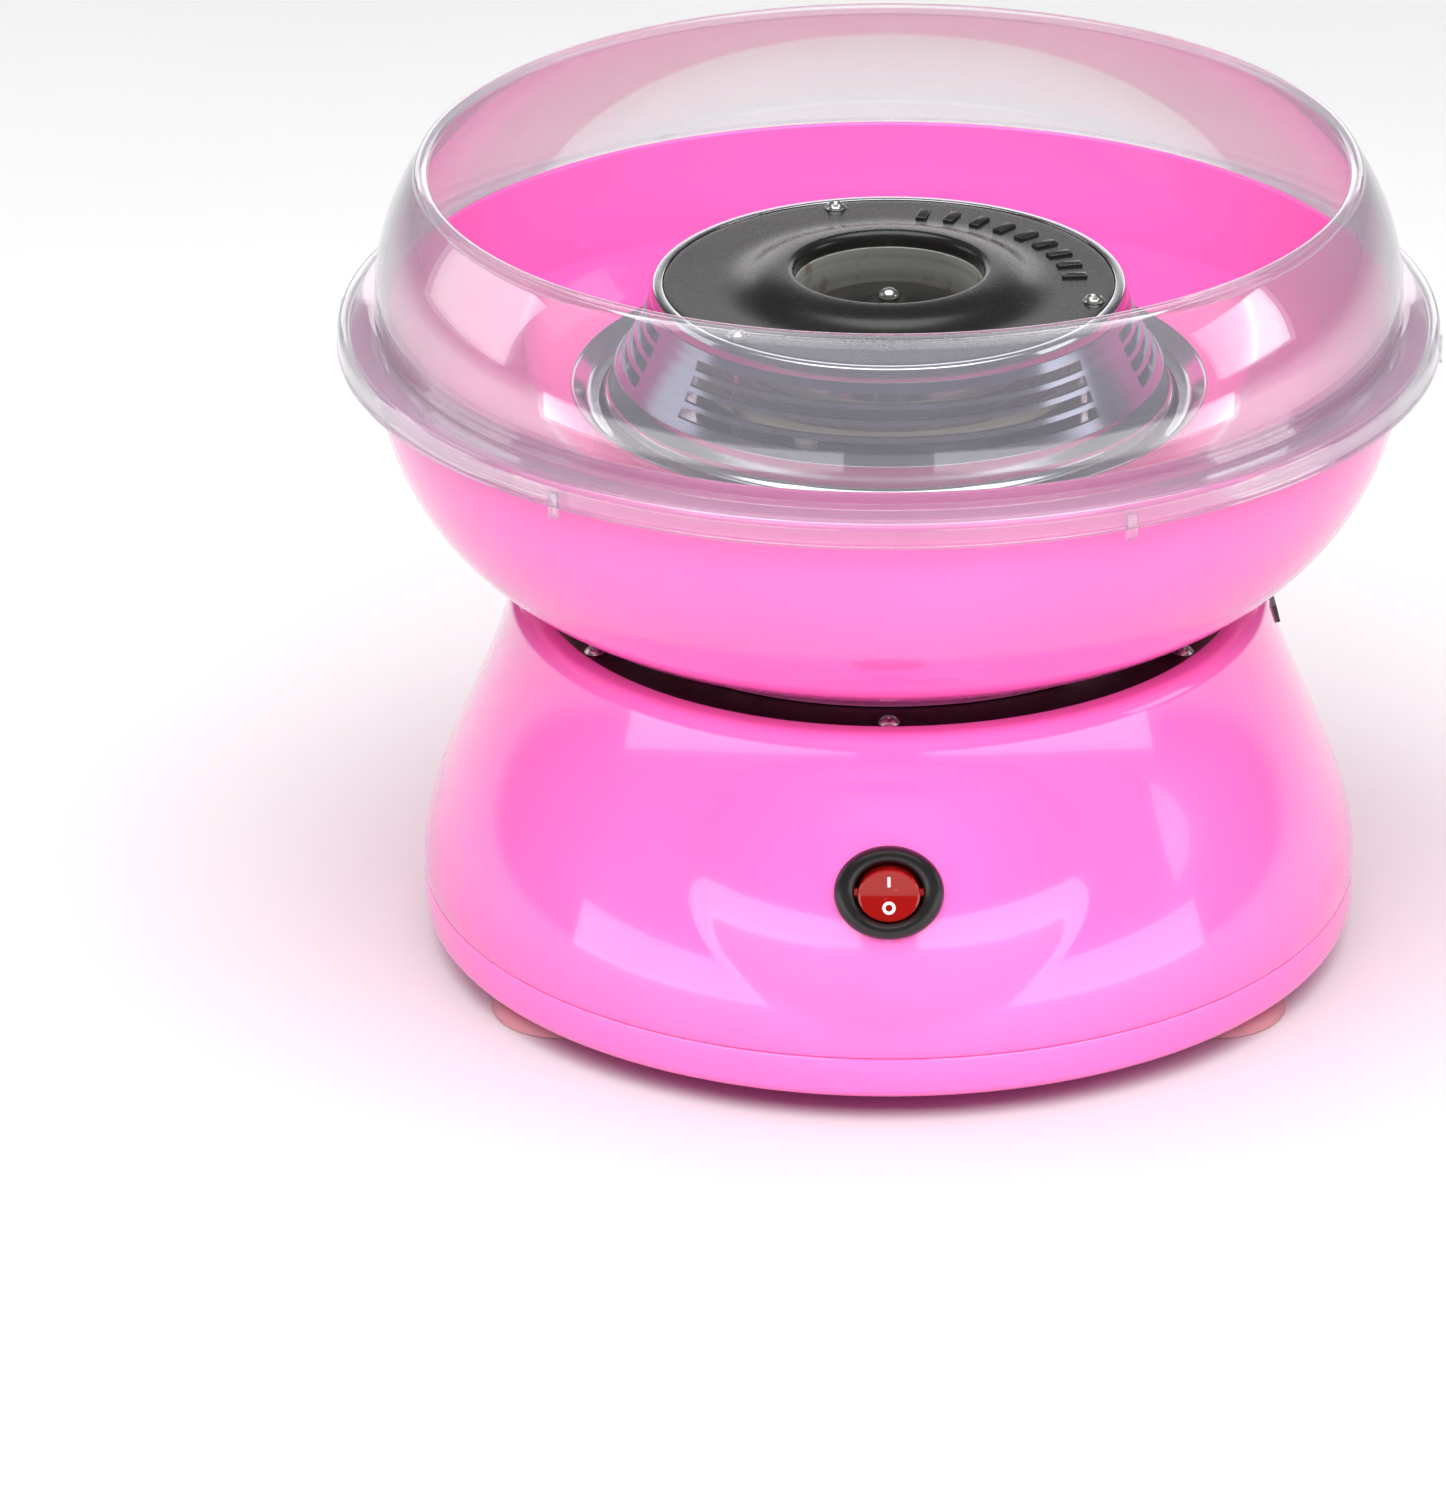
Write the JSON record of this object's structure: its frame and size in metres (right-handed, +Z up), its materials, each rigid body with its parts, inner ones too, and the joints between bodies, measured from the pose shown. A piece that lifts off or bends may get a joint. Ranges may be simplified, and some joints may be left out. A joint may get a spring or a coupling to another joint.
{
  "type": "cotton candy machine",
  "caption": "Table-top cotton candy machine: round motor base with rocker switch, lift-off bowl, clear guard and a slotted spinning head with a funnel cap.",
  "frame": {"origin": "on the surface it stands on, under the axis of the spinning head", "axes": "+Z up along the head axis; -Y towards the user and the switch; +X to the right seen from the switch side"},
  "size_m": [0.2806, 0.2806, 0.21],
  "materials": {
    "pink_plastic": "high gloss injection moulded",
    "clear_plastic": "clear with a slight milky tone",
    "foot_rubber": "soft translucent vinyl",
    "zinc_steel": "bright zinc plated",
    "dark_plate": "dark satin",
    "aluminium": "polished",
    "motor_steel": "machined",
    "copper": "lacquered copper",
    "brass": "drawn brass",
    "black_rubber": "matt",
    "black_plastic": "satin",
    "carbon": "pressed carbon",
    "red_wire": "PVC insulation",
    "blue_wire": "PVC insulation",
    "white_wire": "glass braid insulation",
    "red_lens": "translucent red",
    "fan_plastic": "natural nylon",
    "phenolic": "phenolic board",
    "ceramic": "steatite",
    "mica": "mica board",
    "nichrome": "heat tinted",
    "cap_bakelite": "semi gloss heat-proof plastic",
    "spreader_metal": "heat blackened"
  },
  "bodies": {
    "base": {"base_shell": "pink_plastic", "base_tray": "pink_plastic", "foot_front_left": "foot_rubber", "foot_front_right": "foot_rubber", "foot_rear_left": "foot_rubber", "foot_rear_right": "foot_rubber", "casing_screws": "zinc_steel", "top_plate": "dark_plate", "top_plate_screws": "zinc_steel", "motor_bracket_top": "motor_steel", "motor_bracket_bottom": "motor_steel", "bearing_top": "brass", "bearing_bottom": "brass", "stator_core": "motor_steel", "field_coils": "copper", "motor_bolts": "zinc_steel", "motor_mounts": "black_rubber", "motor_mount_screws": "zinc_steel", "motor_brush_holders": "black_plastic", "motor_brushes": "carbon", "ring_brush_carrier": "black_plastic", "ring_brushes": "carbon", "ring_brush_springs": "brass", "thermal_cutout": "aluminium", "switch_housing": "black_plastic", "switch_terminals": "brass", "cord_gland": "black_rubber", "side_vent": "black_plastic", "wire_to_switch": "red_wire", "wire_to_motor": "blue_wire", "wire_switch_to_motor": "red_wire", "wire_to_heater": "white_wire"},
    "rocker": {"switch_rocker": "red_lens"},
    "head": {"rotor_shaft": "motor_steel", "armature_core": "motor_steel", "armature_windings": "copper", "commutator": "copper", "cooling_fan": "fan_plastic", "slip_ring_hub": "phenolic", "slip_rings": "brass", "lower_pan": "aluminium", "heater_spacers": "ceramic", "heater_plate": "mica", "heater_coils": "nichrome", "slotted_band": "aluminium", "head_ring": "aluminium", "sugar_cup": "aluminium", "spreader": "spreader_metal", "head_cap": "cap_bakelite", "cap_screws": "zinc_steel", "centre_screw": "zinc_steel"},
    "bowl": {"bowl": "pink_plastic", "bowl_neck": "pink_plastic", "neck_ring": "aluminium", "neck_ring_screws": "zinc_steel"},
    "guard": {"guard": "clear_plastic"}
  },
  "joints": [
    {"name": "head_spin", "type": "hinge", "parent": "base", "child": "head", "pos_m": [0, 0, 0.09], "axis": [0, 0, 1], "continuous": true},
    {"name": "rocker_tilt", "type": "hinge", "parent": "base", "child": "rocker", "pos_m": [0, -0.11453, 0.06033], "axis": [-1, 0, 0], "range_deg": [0, 20]},
    {"name": "bowl_lift", "type": "slide", "parent": "base", "child": "bowl", "axis": [0, 0, 1], "range_m": [0, 0.1]},
    {"name": "guard_lift", "type": "slide", "parent": "bowl", "child": "guard", "axis": [0, 0, 1], "range_m": [0, 0.06]}
  ]
}
